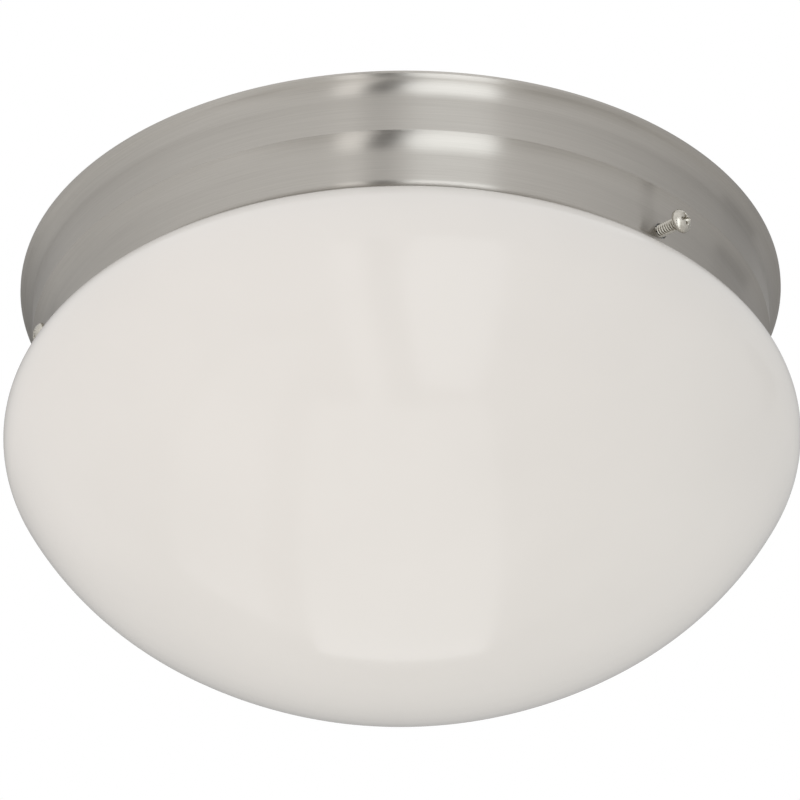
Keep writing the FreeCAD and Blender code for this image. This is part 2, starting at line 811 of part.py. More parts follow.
def shade_points(glass):
    """The joints of the shade's arcs on the surface this far inside the outer one."""
    side = S.shade_side_radius - glass
    lower = S.shade_lower_radius - glass
    return {
        "neck": (shade_neck_radius - glass, shoulder_top - fillet),
        "shoulder": (shoulder_x, shoulder_top + glass),
        "equator": (shade_radius - glass, S.shade_equator_depth),
        "side": (side_x + side * side_cos, S.shade_equator_depth + side * side_sin),
        "lower": (lower_x + lower * lower_cos, lower_depth + lower * lower_sin),
        "pole": (NOTHING, base_depth + base_radius - glass),
    }


outer = shade_points(NOTHING)
inner = shade_points(S.shade_glass)
lip_round = S.shade_lip_rounding
lip_radius = shade_neck_radius + S.shade_lip
lip_foot = neck_top + S.shade_lip_height
nodes.append(revolved("shade", under_ceiling([
    (shade_neck_radius - S.shade_glass, neck_top),
    (lip_radius - lip_round, neck_top),
    Arc(lip_round, False),
    (lip_radius, neck_top + lip_round),
    (lip_radius, lip_foot - lip_round),
    Arc(lip_round, False),
    (lip_radius - lip_round, lip_foot),
    (shade_neck_radius, lip_foot),
    outer["neck"],
    Arc(fillet, True),
    outer["shoulder"],
    Arc(S.shade_shoulder_radius, False),
    outer["equator"],
    Arc(S.shade_side_radius, False),
    outer["side"],
    Arc(S.shade_lower_radius, False),
    outer["lower"],
    Arc(base_radius, False),
    outer["pole"],
    inner["pole"],
    Arc(base_radius - S.shade_glass, True),
    inner["lower"],
    Arc(S.shade_lower_radius - S.shade_glass, True),
    inner["side"],
    Arc(S.shade_side_radius - S.shade_glass, True),
    inner["equator"],
    Arc(S.shade_shoulder_radius - S.shade_glass, True),
    inner["shoulder"],
    Arc(fillet + S.shade_glass, False),
    inner["neck"],
])))

# ---------------------------------------------------------------- fitter screws and their nuts
# The first screw is backed out to its last threads, as while a shade is being fitted. The other two stand
# just outside the shade's lip, so that the shade can pass.
screwed_in = (lip_radius + S.fitter_lip_gap + S.fitter_screw_length * draft_cos
              - fitter_wall_radius) / draft_cos
fitter_reaches = [S.fitter_backed_out] + [screwed_in] * (FITTER_SCREWS - 1)
# a pan head: a short upright side, a dome and a flat top, as shares of its height and radius
HEAD_SIDE_SHARE, HEAD_DOME_SHARE, HEAD_TOP_SHARE = 0.35, 0.9, 0.45
head_flat = S.fitter_head_height * HEAD_SIDE_SHARE
for number, reach in enumerate(fitter_reaches):
    screw = revolved(f"fitter_screw_{number + 1}", [
        (NOTHING, -S.fitter_screw_length),
        (S.fitter_screw_radius - S.fitter_tip_chamfer, -S.fitter_screw_length),
        (S.fitter_screw_radius, S.fitter_tip_chamfer - S.fitter_screw_length),
        (S.fitter_screw_radius, NOTHING),
        (S.fitter_head_radius, NOTHING),
        (S.fitter_head_radius, head_flat),
        Arc(S.fitter_head_radius * HEAD_DOME_SHARE, True),
        (S.fitter_head_radius * HEAD_TOP_SHARE, S.fitter_head_height),
        (NOTHING, S.fitter_head_height),
    ])
    on_fitter_axis(screw, number, reach)
    nodes.append(screw)

# A flat nut touches the hollow of the wall with its two upright edges.
half_nut = S.fitter_nut_side / 2
nut_wall = fitter_wall_radius - S.pan_sheet / draft_cos
nut_sag = nut_wall - root(nut_wall * nut_wall - half_nut * half_nut)
nut_members = []
for number in range(FITTER_SCREWS):
    body = new_body(f"fitter_nut_{number + 1}")
    sketch = new_sketch(body, "XY_Plane", f"nut_outline_{number + 1}")
    draw_outline(sketch, [
        (-half_nut, -half_nut),
        (half_nut, -half_nut),
        (half_nut, half_nut),
        (-half_nut, half_nut),
    ])
    circle_in(sketch, NOTHING, NOTHING, S.fitter_screw_radius + S.fitter_running_gap)
    block = body.newObject("PartDesign::Pad", f"nut_block_{number + 1}")
    block.Profile = sketch
    block.setExpression("Length", S.fitter_nut_height.text)
    doc.recompute()
    seat = S.pan_sheet + nut_sag + S.fitter_nut_height + S.fitter_running_gap
    on_fitter_axis(body, number, -seat)
    nut_members.append(body)
nodes.append(group("fitter_nuts", nut_members))

# ---------------------------------------------------------------- connectors and leads
# Each connector lies under the plate with its mouth to the middle, and joins two leads side by side.
connector_depth = plate_under + S.connector_radius + S.connector_plate_gap
# its socket and its cone, as shares of its length
SOCKET_SHARE, SKIRT_SHARE, CONE_SHARE, TIP_FLAT_SHARE = 0.6, 0.3, 0.9, 0.7
socket_radius = S.lead_spacing / 2 + S.lead_radius + S.lead_hole_gap * 2
socket_depth = S.connector_length * SOCKET_SHARE
connector_members = []
for side in (-1, 1):
    connector = revolved(f"connector_{len(connector_members) + 1}", [
        (socket_radius, NOTHING),
        (S.connector_radius, NOTHING),
        (S.connector_radius, S.connector_length * SKIRT_SHARE),
        (S.connector_tip_radius, S.connector_length * CONE_SHARE),
        (S.connector_tip_radius * TIP_FLAT_SHARE, S.connector_length),
        (NOTHING, S.connector_length),
        (NOTHING, socket_depth),
        (socket_radius, socket_depth),
    ])
    place(connector, NOTHING, S.connector_mouth * side, -connector_depth, NOTHING, NOTHING, -90.0 * side)
    connector_members.append(connector)
nodes.append(group("wire_connectors", connector_members))


# the share of the shorter run that a corner's arc takes up
CORNER_SHARE = 0.45


def rounded_path(points):
    """Straight runs joined by tangent arcs, each as large as its share of the shorter run allows."""
    edges = []
    radii = []
    length = 0.0
    start = points[0]
    for before, corner, after in zip(points, points[1:], points[2:]):
        incoming = (corner - before).normalize()
        outgoing = (after - corner).normalize()
        turn = incoming.getAngle(outgoing)
        setback = CORNER_SHARE * min((corner - before).Length, (after - corner).Length)
        radius = setback / math.tan(turn / 2)
        enter = corner - incoming * setback
        leave = corner + outgoing * setback
        middle = corner + (outgoing - incoming).normalize() * (radius / math.cos(turn / 2) - radius)
        edges.append(Part.LineSegment(start, enter).toShape())
        edges.append(Part.Arc(enter, middle, leave).toShape())
        length += (enter - start).Length + radius * turn
        radii.append(radius)
        start = leave
    edges.append(Part.LineSegment(start, points[-1]).toShape())
    length += (points[-1] - start).Length
    return Part.Wire(edges), length, radii


def lead_shape(points):
    path, length, radii = rounded_path(points)
    ring = Part.Circle(points[0], points[1] - points[0], S.lead_radius.value).toShape()
    tube = path.makePipeShell([Part.Wire([ring])], True, False)
    expected = math.pi * S.lead_radius.value ** 2 * length
    if abs(tube.Volume - expected) > 0.01 * expected:
        raise RuntimeError(f"a lead's volume is {tube.Volume:.1f} and should be {expected:.1f}")
    print("lead", round(length, 1), "mm, radii", [round(radius, 1) for radius in radii])
    return tube


# A lead's lie, in lead radii: under the plate, below another lead, and off the bushing's flange. The last
# two are the shares of a row's distance from the middle at which the leads turn in.
UNDER_PLATE, UNDER_LEAD, OFF_FLANGE, OFF_MOUTH, OFF_SLOT, PAST_FLANGE = 2.2, 2.0, 2.0, 2.4, 3.0, 3.2
SHORT_TURN_SHARE, LONG_TURN_SHARE = 0.86, 0.64
lead = S.lead_radius.value
back = S.holder_back.value
spread = S.lamp_spread.value
axis = -S.lamp_depth.value
behind = back + S.lead_behind_holder.value
leads_level = -(plate_under.value + lead * UNDER_PLATE)
low_level = leads_level - lead * UNDER_LEAD
mouth = S.connector_mouth.value
side_by_side = S.lead_spacing.value / 2
joint_level = -connector_depth.value
joint_end = mouth + socket_depth.value * 0.5
near_row = -spread + S.lead_offset.value
far_row = -spread - S.lead_offset.value
inside = back - S.lead_insertion.value
flange = S.bushing_flange_radius.value
slot_inner_end = (S.slot_spacing.value - S.slot_length.value) / 2
between = (slot_inner_end + flange) / 2 - lead * OFF_SLOT

# from the holder on side +1 to the connector on its own side, at -Y
short_route = [
    Vector(inside, far_row, axis),
    Vector(behind, far_row, axis),
    Vector(behind, far_row, low_level),
    Vector(back - S.bracket_foot.value, far_row, low_level),
    Vector(flange + lead * OFF_FLANGE, -mouth * SHORT_TURN_SHARE, low_level),
    Vector(side_by_side, -flange - lead * OFF_MOUTH, joint_level),
    Vector(side_by_side, -joint_end, joint_level),
]
# from the same holder round the bushing to the connector at +Y
long_route = [
    Vector(inside, near_row, axis),
    Vector(behind, near_row, axis),
    Vector(behind, near_row, leads_level),
    Vector(slot_inner_end - lead * OFF_SLOT, near_row * LONG_TURN_SHARE, leads_level),
    Vector(between, -lead * OFF_FLANGE, leads_level),
    Vector(between - lead * OFF_SLOT, flange, leads_level),
    Vector(side_by_side, flange + lead * PAST_FLANGE, joint_level),
    Vector(side_by_side, joint_end, joint_level),
]


def turned(points):
    return [Vector(-point.x, -point.y, point.z) for point in points]


for label, routes in (
    ("black_leads", (short_route, turned(long_route))),
    ("white_leads", (long_route, turned(short_route))),
):
    leads = doc.addObject("Part::Feature", label)
    leads.Label = label
    leads.Shape = Part.makeCompound([lead_shape(route) for route in routes])
    leads.Placement = FreeCAD.Placement()
    nodes.append(leads)

# ---------------------------------------------------------------- check and write
doc.recompute()
for obj in doc.Objects:
    if "Invalid" in obj.State or "Error" in obj.State:
        raise RuntimeError(f"{obj.Label} failed: {obj.State}")
for node in nodes:
    shape = node.Shape
    if shape.isNull() or not shape.isValid() or not shape.Solids:
        raise RuntimeError(f"{node.Label} has no valid shape")
labels = [node.Label for node in nodes]
if len(set(labels)) != len(labels):
    raise RuntimeError("two nodes share a name")
os.makedirs("parts", exist_ok=True)
for node in nodes:
    node.Shape.exportStep(os.path.join("parts", node.Label + ".step"))
    print(f"{node.Label}: {len(node.Shape.Solids)} solid(s), {node.Shape.Volume / 1000:.2f} cm3")
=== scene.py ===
import math

import bmesh
import bpy
import numpy as np
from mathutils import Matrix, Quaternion, Vector


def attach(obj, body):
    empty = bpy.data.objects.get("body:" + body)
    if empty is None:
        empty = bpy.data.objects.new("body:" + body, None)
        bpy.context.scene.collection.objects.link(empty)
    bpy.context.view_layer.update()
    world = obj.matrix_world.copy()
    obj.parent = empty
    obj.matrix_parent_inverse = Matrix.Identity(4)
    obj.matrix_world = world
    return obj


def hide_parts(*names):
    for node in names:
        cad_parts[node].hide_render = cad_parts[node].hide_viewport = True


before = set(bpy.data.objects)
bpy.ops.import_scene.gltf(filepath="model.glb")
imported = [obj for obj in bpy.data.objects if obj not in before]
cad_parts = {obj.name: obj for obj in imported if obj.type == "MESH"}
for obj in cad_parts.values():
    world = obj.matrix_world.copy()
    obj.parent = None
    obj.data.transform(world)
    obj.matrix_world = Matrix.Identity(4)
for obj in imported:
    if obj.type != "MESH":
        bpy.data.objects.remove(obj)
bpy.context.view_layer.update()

MM = 0.001
TURN = 2 * math.pi

# ---------------------------------------------------------------- camera
# The photograph looks up at the fixture from about 2 m. Its frame is centred a little below the pan.
CAMERA_PLACE = Vector((0.0, -1.62696, -1.13021))
CAMERA_AIM = Vector((-0.00063, 0.0, -0.04450))
CAMERA_ROLL = math.radians(-0.56)
CAMERA_LENS = 239.0

camera = bpy.data.objects.new("camera", bpy.data.cameras.new("camera"))
bpy.context.scene.collection.objects.link(camera)
bpy.context.scene.camera = camera
camera.data.lens = CAMERA_LENS
camera.data.sensor_width = 36.0
camera.location = CAMERA_PLACE
camera.rotation_mode = "QUATERNION"
camera.rotation_quaternion = (
    (CAMERA_AIM - CAMERA_PLACE).to_track_quat("-Z", "Y") @ Quaternion((0, 0, 1), CAMERA_ROLL)
)


# ---------------------------------------------------------------- outlines
class Arc:
    """An edge of an outline that is an arc of this radius, turning left or right to its end point."""

    def __init__(self, radius, turns_left):
        self.radius, self.side = radius, 1 if turns_left else -1


def outline(steps, longest=40.0, facet=math.radians(5)):
    """Samples a line of (radius, height) points in mm, straight or by Arcs from point to point.

    An arc's points are centre + radius (cos a, sin a), with a going evenly from its start to its end.
    """
    runs, arc = [np.array([steps[0]], float)], None
    for step in steps[1:]:
        if isinstance(step, Arc):
            arc = step
            continue
        start, end = runs[-1][-1], np.array(step, float)
        chord = end - start
        length = math.hypot(*chord)
        if arc:
            half = math.asin(min(1.0, length / 2 / arc.radius))
            square = np.array([-chord[1], chord[0]]) / length * arc.side
            centre = (start + end) / 2 + square * arc.radius * math.cos(half)
            first = math.atan2(*(start - centre)[::-1])
            share = np.linspace(0, 1, math.ceil(2 * half / facet) + 1)[1:]
            angle = first + arc.side * 2 * half * share
            runs.append(centre + arc.radius * np.stack([np.cos(angle), np.sin(angle)], -1))
        else:
            share = np.linspace(0, 1, math.ceil(length / longest) + 1)[1:]
            runs.append(start + chord * share[:, None])
        arc = None
    return np.concatenate(runs)


def softened(corners, radius, longest=40.0):
    """An outline whose inner corners are rounded by tangent arcs of about this radius."""
    corners = [np.array(corner, float) for corner in corners]
    steps = [tuple(corners[0])]
    for before, corner, after in zip(corners, corners[1:], corners[2:]):
        come, leave = corner - before, after - corner
        come_length, leave_length = math.hypot(*come), math.hypot(*leave)
        come, leave = come / come_length, leave / leave_length
        cross = come[0] * leave[1] - come[1] * leave[0]
        turn = math.atan2(cross, come @ leave)
        if abs(turn) < 0.02:
            steps.append(tuple(corner))
            continue
        setback = min(radius * math.tan(abs(turn) / 2), 0.45 * come_length, 0.45 * leave_length)
        steps += [
            tuple(corner - come * setback),
            Arc(setback / math.tan(abs(turn) / 2), turn > 0),
            tuple(corner + leave * setback),
        ]
    steps.append(tuple(corners[-1]))
    return outline(steps, longest, math.radians(15))


# ---------------------------------------------------------------- surfaces
def grid_faces(rows, columns, rows_close=False):
    """Quads of a grid whose columns close round; its rows close too where the section is a loop."""
    row, column = np.meshgrid(
        np.arange(rows if rows_close else rows - 1), np.arange(columns), indexing="ij"
    )
    below, beside = (row + 1) % rows, (column + 1) % columns
    corners = [row * columns + column, row * columns + beside,
               below * columns + beside, below * columns + column]
    return np.stack(corners, -1).reshape(-1, 4)


def lathe(line, around, first_turn=0.0, swell=None, closed=False):
    """Turns a line about Z: (r cos t, r sin t, h), with r = radius + swell(t, h) where that is given."""
    turn = first_turn + np.arange(around) * TURN / around
    radius, height = np.broadcast_arrays(line[:, :1], turn)[0], np.broadcast_arrays(line[:, 1:], turn)[0]
    if swell is not None:
        radius = radius + swell(turn[None, :], height)
    points = np.stack([radius * np.cos(turn), radius * np.sin(turn), height], -1)
    return points.reshape(-1, 3), grid_faces(len(line), around, closed)


def helix(pitch, height, turn):
    """A right-hand thread's wave, from -1 in the root to 1 on the crest: cos(2 pi h / pitch - t)."""
    return np.cos(TURN * height / pitch - turn)


def between(low, high, soft, height):
    """1 between two heights and 0 outside them, with ramps of this length inside the ends."""
    return np.clip((height - low) / soft, 0, 1) * np.clip((high - height) / soft, 0, 1)


def stood(points, foot, out, roll=0.0):
    """Stands points on a line: the origin goes to foot and +Z to out, after a roll about Z."""
    out = np.array(out, float) / np.linalg.norm(out)
    side = np.cross([0, 0, 1], out)
    side /= np.linalg.norm(side)
    over = np.cross(out, side)
    cos, sin = math.cos(roll), math.sin(roll)
    return np.array(foot) + points @ np.stack([cos * side + sin * over, cos * over - sin * side, out])


def piece(name, shells, finish, body, replaces, crease=35):
    """Makes one closed piece of (points in mm, quads) shells: seams and poles merged, faces outward."""
    starts = np.cumsum([0] + [len(points) for points, _ in shells[:-1]])
    points = np.concatenate([points for points, _ in shells]) * MM
    faces = np.concatenate([quads + start for (_, quads), start in zip(shells, starts)])
    mesh = bpy.data.meshes.new(name)
    mesh.from_pydata(points.tolist(), [], faces.tolist())
    work = bmesh.new()
    work.from_mesh(mesh)
    bmesh.ops.remove_doubles(work, verts=work.verts, dist=2e-7)
    bmesh.ops.recalc_face_normals(work, faces=work.faces)
    work.to_mesh(mesh)
    work.free()
    mesh.shade_smooth()
    mesh.set_sharp_from_angle(angle=math.radians(crease))
    mesh.materials.append(finish)
    made = bpy.data.objects.new(name, mesh)
    bpy.context.scene.collection.objects.link(made)
    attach(made, body)
    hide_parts(*replaces)
    return made


# ---------------------------------------------------------------- material tools
def linear(colour):
    """An sRGB hex colour as the linear RGBA that a shader takes."""
    share = np.array([int(colour[at:at + 2], 16) for at in (0, 2, 4)]) / 255
    straight = np.where(share <= 0.04045, share / 12.92, ((share + 0.055) / 1.055) ** 2.4)
    return (*straight.tolist(), 1.0)


def add(tree, kind, inputs=(), **settings):
    """Adds a shader node with its settings, and each input's value or link."""
    made = tree.nodes.new("ShaderNode" + kind)
    for name, value in settings.items():
        setattr(made, name, value)
    for socket, value in dict(inputs).items():
        if isinstance(value, bpy.types.NodeSocket):
            tree.links.new(value, made.inputs[socket])
        else:
            made.inputs[socket].default_value = value
    return made


def material(name, colour, detail=None, **values):
    """A Principled material in this colour; detail(tree, shader, place) adds its pattern."""
    made = bpy.data.materials.new(name)
    made.use_nodes = True
    tree = made.node_tree
    shader = tree.nodes["Principled BSDF"]
    shader.inputs["Base Color"].default_value = linear(colour)
    for socket, value in values.items():
        shader.inputs[socket.replace("_", " ")].default_value = value
    if detail:
        detail(tree, shader, add(tree, "TexCoord").outputs["Object"])
    return made


def mottle(light, dark, size, bump=0.0, depth=0.0, stretch=(1, 1, 1), rough=None, octaves=3.0):
    """A detail that drifts between two colours over patches of this size in mm.

    The same noise, this many octaves of it, raises a bump of this depth in mm and, where rough gives
    two values, moves the roughness between them.
    """

    def detail(tree, shader, place):
        spread = add(tree, "Mapping", {"Vector": place, "Scale": stretch})
        noise = add(tree, "TexNoise", {
            "Vector": spread.outputs[0], "Scale": 1 / (size * MM), "Detail": octaves,
        })
        ramp = add(tree, "ValToRGB", {"Fac": noise.outputs["Fac"]})
        for stop, (at, colour) in zip(ramp.color_ramp.elements, ((0.3, dark), (0.7, light))):
            stop.position, stop.color = at, linear(colour)
        tree.links.new(ramp.outputs["Color"], shader.inputs["Base Color"])
        if bump:
            raised = add(tree, "Bump", {
                "Strength": bump, "Distance": depth * MM, "Height": noise.outputs["Fac"],
            })
            tree.links.new(raised.outputs["Normal"], shader.inputs["Normal"])
        if rough:
            level = add(tree, "MapRange", {
                "Value": noise.outputs["Fac"], "From Min": 0.3, "From Max": 0.7,
                "To Min": rough[0], "To Max": rough[1],
            })
            tree.links.new(level.outputs["Result"], shader.inputs["Roughness"])

    return detail


def brushed_round(tree, shader, place):
    """Fine strokes round the Z axis: noise at (x/r, y/r, z, r), long along the turn and 0.3 mm across.

    Real strokes are near 0.05 mm wide, too fine for the render, so they are drawn at 0.3 mm.
    """
    across, along = 1 / (0.3 * MM), 5.0
    parts = add(tree, "SeparateXYZ", {0: place})
    flat = add(tree, "CombineXYZ", {"X": parts.outputs["X"], "Y": parts.outputs["Y"]})
    radius = add(tree, "VectorMath", {0: flat.outputs[0]}, operation="LENGTH")
    unit = add(tree, "VectorMath", {0: flat.outputs[0]}, operation="NORMALIZE")
    wide = add(tree, "VectorMath", {0: unit.outputs[0], "Scale": along}, operation="SCALE")
    height = add(tree, "Math", {0: parts.outputs["Z"], 1: across}, operation="MULTIPLY")
    reach = add(tree, "Math", {0: radius.outputs["Value"], 1: across}, operation="MULTIPLY")
    lift = add(tree, "CombineXYZ", {"Z": height.outputs[0]})
    where = add(tree, "VectorMath", {0: wide.outputs[0], 1: lift.outputs[0]}, operation="ADD")
    strokes = add(tree, "TexNoise", {
        "Vector": where.outputs[0], "W": reach.outputs[0], "Scale": 1.0, "Detail": 2.0,
    }, noise_dimensions="4D")
    ramp = add(tree, "ValToRGB", {"Fac": strokes.outputs["Fac"]})
    for stop, (at, colour) in zip(ramp.color_ramp.elements, ((0.25, "A7A39D"), (0.75, "B1ADA7"))):
        stop.position, stop.color = at, linear(colour)
    level = add(tree, "MapRange", {
        "Value": strokes.outputs["Fac"], "From Min": 0.25, "From Max": 0.75,
        "To Min": 0.28, "To Max": 0.33,
    })
    raised = add(tree, "Bump", {
        "Strength": 0.12, "Distance": 0.02 * MM, "Height": strokes.outputs["Fac"],
    })
    tangent = add(tree, "Tangent", direction_type="RADIAL", axis="Z")
    for source, socket in (
        (ramp.outputs["Color"], "Base Color"), (level.outputs["Result"], "Roughness"),
        (raised.outputs["Normal"], "Normal"), (tangent.outputs[0], "Tangent"),
    ):
        tree.links.new(source, shader.inputs[socket])


# ---------------------------------------------------------------- finishes
# Spun steel plated in brushed nickel: warm mid grey, with reflections drawn out across the strokes.
brushed_nickel = material(
    "brushed_nickel_plate", "ACA8A2", brushed_round, Metallic=1.0, Anisotropic=1.0,
    Anisotropic_Rotation=0.25,
)
# Cased opal glass, blown and glossy: an even warm white that hides the lamps, with soft clear reflections.
opal_glass = material(
    "opal_cased_glass", "E4E1DD", mottle("E5E2DE", "E2DFDB", 70.0, 0.04, 0.2),
    Roughness=0.12, IOR=1.5, Specular_IOR_Level=0.2,
)
# Nickel plated machine screws: bright, barely worn, with small highlights.
bright_nickel = material(
    "bright_nickel_screw", "BDB9B0", mottle("C2BEB5", "B2AEA5", 1.5, rough=(0.2, 0.32)), Metallic=1.0,
)
# Reflector enamel, baked on sheet steel: glossy white with a faint orange peel 3 mm across.
enamel = material(
    "white_reflector_enamel", "E6E6E2", mottle("E9E9E5", "E2E2DD", 3.0, 0.15, 0.05), Roughness=0.22,
)
# Yellow glass wool: matt, tangled fibres drawn at 0.6 mm, with a painted highlight where they stand up and
# painted shade between them.
glass_wool = material(
    "glass_wool_mat", "D9C77E",
    mottle("E6D893", "B9A45A", 0.6, 0.8, 0.5, stretch=(1, 0.35, 1), octaves=5.0), Roughness=0.95,
    Specular_IOR_Level=0.2, Sheen_Weight=0.3,
)
# Moulded black nylon: dark, satin, with a fine moulding grain.
nylon = material(
    "moulded_black_nylon", "1B1B1C", mottle("202021", "161617", 0.8, 0.2, 0.02), Roughness=0.45,
)
# Green dyed zinc plate, the usual mark of an earth screw.
green_zinc = material(
    "green_dyed_zinc", "2F7A3C", mottle("388646", "276B33", 1.2, rough=(0.28, 0.4)), Metallic=0.8,
)
# Bright zinc plate on strip steel: cool light grey with faint drawn streaks 0.5 mm wide.
zinc = material(
    "bright_zinc_plate", "B9BCBE",
    mottle("C3C6C8", "AAAEB1", 0.5, 0.1, 0.01, stretch=(1, 1, 0.06), rough=(0.26, 0.4)), Metallic=1.0,
)
# Glazed electrical porcelain: creamy white under a clear glassy coat.
porcelain = material(
    "glazed_porcelain", "E8E4DB", mottle("ECE8E0", "E2DDD2", 8.0, 0.1, 0.08), Roughness=0.3,
    Coat_Weight=0.8, Coat_Roughness=0.05,
)
# Drawn brass, a little dulled by handling.
brass = material(
    "drawn_brass", "C9A45C", mottle("D0AD66", "B58F4A", 2.5, rough=(0.22, 0.38)), Metallic=1.0,
)
# Moulded thermoplastic of a twist-on wire connector: semi-gloss orange.
orange_plastic = material(
    "moulded_orange_plastic", "D9651C", mottle("DE6C22", "CE5B16", 2.0, 0.1, 0.03), Roughness=0.35,
)
# Lead insulation, extruded vinyl: smooth with a soft sheen.
black_vinyl = material("black_vinyl", "1D1D1E", mottle("232324", "18181A", 3.0), Roughness=0.4)
white_vinyl = material("white_vinyl", "E2E1DC", mottle("E6E5E1", "DAD9D2", 3.0), Roughness=0.4)
# Lamp glass frosted inside: soft white with a clear outer gloss.
frosted_glass = material(
    "inside_frosted_glass", "EFEEEA", mottle("F1F0EC", "EBEAE6", 12.0), Roughness=0.18, IOR=1.5,
    Subsurface_Weight=0.15, Subsurface_Scale=0.004,
)
# Rolled aluminium screw cap: pale, with handling marks.
aluminium = material(
    "rolled_aluminium", "C8C8C6", mottle("CECECC", "B8B8B6", 1.8, rough=(0.25, 0.4)), Metallic=1.0,
)
# Black vitrite, a glassy insulator.
vitrite = material("black_vitrite", "151317", mottle("1B181E", "100E12", 1.5), Roughness=0.12)
# Tin solder: dull grey bead.
solder = material("tin_solder", "9E9E9A", mottle("A8A8A4", "8C8C88", 1.0, rough=(0.35, 0.5)), Metallic=1.0)

# ---------------------------------------------------------------- pan
# The lower wall leans in by the draft. Each fitter hole takes a square block of its cells.
PAN_COLUMNS = 480
SHEET = 0.8
DRAFT = math.radians(5)
WALL_TOP, WALL_FOOT = (132.65, -30.1), (131.802, -39.8)
FITTER_AZIMUTHS = [44.4, 164.4, 284.4]
FITTER_TURNS = [math.radians(azimuth - 90) for azimuth in FITTER_AZIMUTHS]
FITTER_DEPTH = 36.6
HOLE_RADIUS = 2.9
HOLE_CELLS, HOLE_RINGS = 6, 4
HOLE_TOP, ROWS_ABOVE = -33.2, 4


def wall_line(inset, top_down):
    """The lower wall's line, with rows 1.1 mm apart beside the fitter holes."""
    top = (WALL_TOP[0] - inset, WALL_TOP[1])
    foot = (WALL_FOOT[0] - inset, WALL_FOOT[1])
    above = np.linspace(top[1], HOLE_TOP, ROWS_ABOVE + 1)
    beside = np.linspace(HOLE_TOP, foot[1], HOLE_CELLS + 1)
    level = np.concatenate([above, beside[1:]])
    radius = top[0] + (foot[0] - top[0]) * (level - top[1]) / (foot[1] - top[1])
    line = np.stack([radius, level], -1)
    return line if top_down else line[::-1]


# Outside from the ceiling down: rim, upper cove, upper wall, a fine groove at the step, lower cove.
PAN_UPPER = outline([
    (140.07, 0.0), (141.5, 0.0), (141.5, -1.0), (140.45, -2.05), Arc(7.41, True), (136.6, -8.55),
    (136.6, -22.1), (136.48, -22.25), (136.6, -22.4), Arc(11.47, True), WALL_TOP,
], 0.9, math.radians(3))
# The bead rolled round the lower wall's foot.
PAN_FOOT = outline([
    WALL_FOOT, Arc(2.6, False), (130.512, -41.825), Arc(0.45, False), (129.837, -41.435),
    (130.46, -40.6), Arc(0.5, True), (130.96, -40.3),
], 0.9, math.radians(10))
PAN_INSIDE = outline([
    (WALL_TOP[0] - SHEET, WALL_TOP[1]), Arc(12.27, False), (135.8, -22.83), (135.8, -8.55),
    Arc(8.21, False), (140.07, 0.0),
], 3.0)


def pan_shells():
    """The pan's line turned about Z, with a ring of quads round each fitter hole and a bore in each.

    The grid leaves a block of cells open at each hole. In the block, points go from its border to a
    circle: point = border (1 - w) + circle w in (arc length, depth), laid on the wall's cone.
    """
    outer_wall, inner_wall = wall_line(0.0, True), wall_line(SHEET, False)
    line = np.concatenate([PAN_UPPER[:-1], outer_wall, PAN_FOOT[1:-1], inner_wall, PAN_INSIDE[1:-1]])
    points, faces = lathe(line, PAN_COLUMNS, FITTER_TURNS[0], closed=True)
    outer_row = len(PAN_UPPER) - 1 + ROWS_ABOVE
    inner_row = len(PAN_UPPER) - 1 + len(outer_wall) + len(PAN_FOOT) - 2
    half = HOLE_CELLS // 2
    row, column = faces[:, 0] // PAN_COLUMNS, faces[:, 0] % PAN_COLUMNS
    pitch = PAN_COLUMNS // len(FITTER_TURNS)
    near = (column + half) % pitch < HOLE_CELLS
    near_rows = sum((row >= first) & (row < first + HOLE_CELLS) for first in (outer_row, inner_row))
    shells = [(points, faces[~(near & (near_rows > 0))])]

    step = np.arange(HOLE_CELLS)
    start, end = np.zeros_like(step), np.full_like(step, HOLE_CELLS)
    ring = np.concatenate([
        np.stack([start, step], -1), np.stack([step, end], -1),
        np.stack([end, HOLE_CELLS - step], -1), np.stack([HOLE_CELLS - step, start], -1),
    ])
    for wall in (outer_wall, inner_wall[::-1]):
        radius, level = wall[ROWS_ABOVE:].T
        side = (ring[:, 1] - half) * TURN / PAN_COLUMNS * radius[ring[:, 0]]
        depth = level[ring[:, 0]]
        angle = np.arctan2(half - ring[0, 0], ring[0, 1] - half) - np.arange(len(ring)) * TURN / len(ring)
        circle_side = HOLE_RADIUS * np.cos(angle)
        circle_depth = -FITTER_DEPTH + HOLE_RADIUS * np.sin(angle)
        share = np.linspace(0, 1, HOLE_RINGS + 1)[:, None]
        side = side * (1 - share) + circle_side * share
        depth = depth * (1 - share) + circle_depth * share
        cone = np.interp(-depth, -level, radius)
        if wall is outer_wall:
            rim = (side[-1], depth[-1], cone[-1])
        else:
            side = np.concatenate([side, rim[0][None]])
            depth = np.concatenate([depth, rim[1][None]])
            cone = np.concatenate([cone, rim[2][None]])
        for turn in FITTER_TURNS:
            place = turn + side / cone
            patch = np.stack([cone * np.cos(place), cone * np.sin(place), depth], -1)
            shells.append((patch.reshape(-1, 3), grid_faces(len(side), len(ring))))
    return shells


piece("spun_pan", pan_shells(), brushed_nickel, "root", ["pan"])

# ---------------------------------------------------------------- shade
# Outside from the lip down: lip, neck, fillet, shoulder, side, lower side and base, all tangent arcs.
SHADE = outline([
    (116.6, -29.5), (121.4, -29.5), Arc(0.4, False), (121.8, -29.9), (121.8, -32.55), Arc(0.4, False),
    (121.4, -32.95), (119.8, -32.95), (119.8, -39.4), Arc(1.7, True), (121.5, -41.1),
    Arc(24.2, False), (145.7, -65.3), Arc(30.0, False), (142.198, -79.365), Arc(119.3, False),
    (111.22, -116.694), Arc(178.37, False), (0.0, -155.62),
], 1.2, math.radians(1.5))
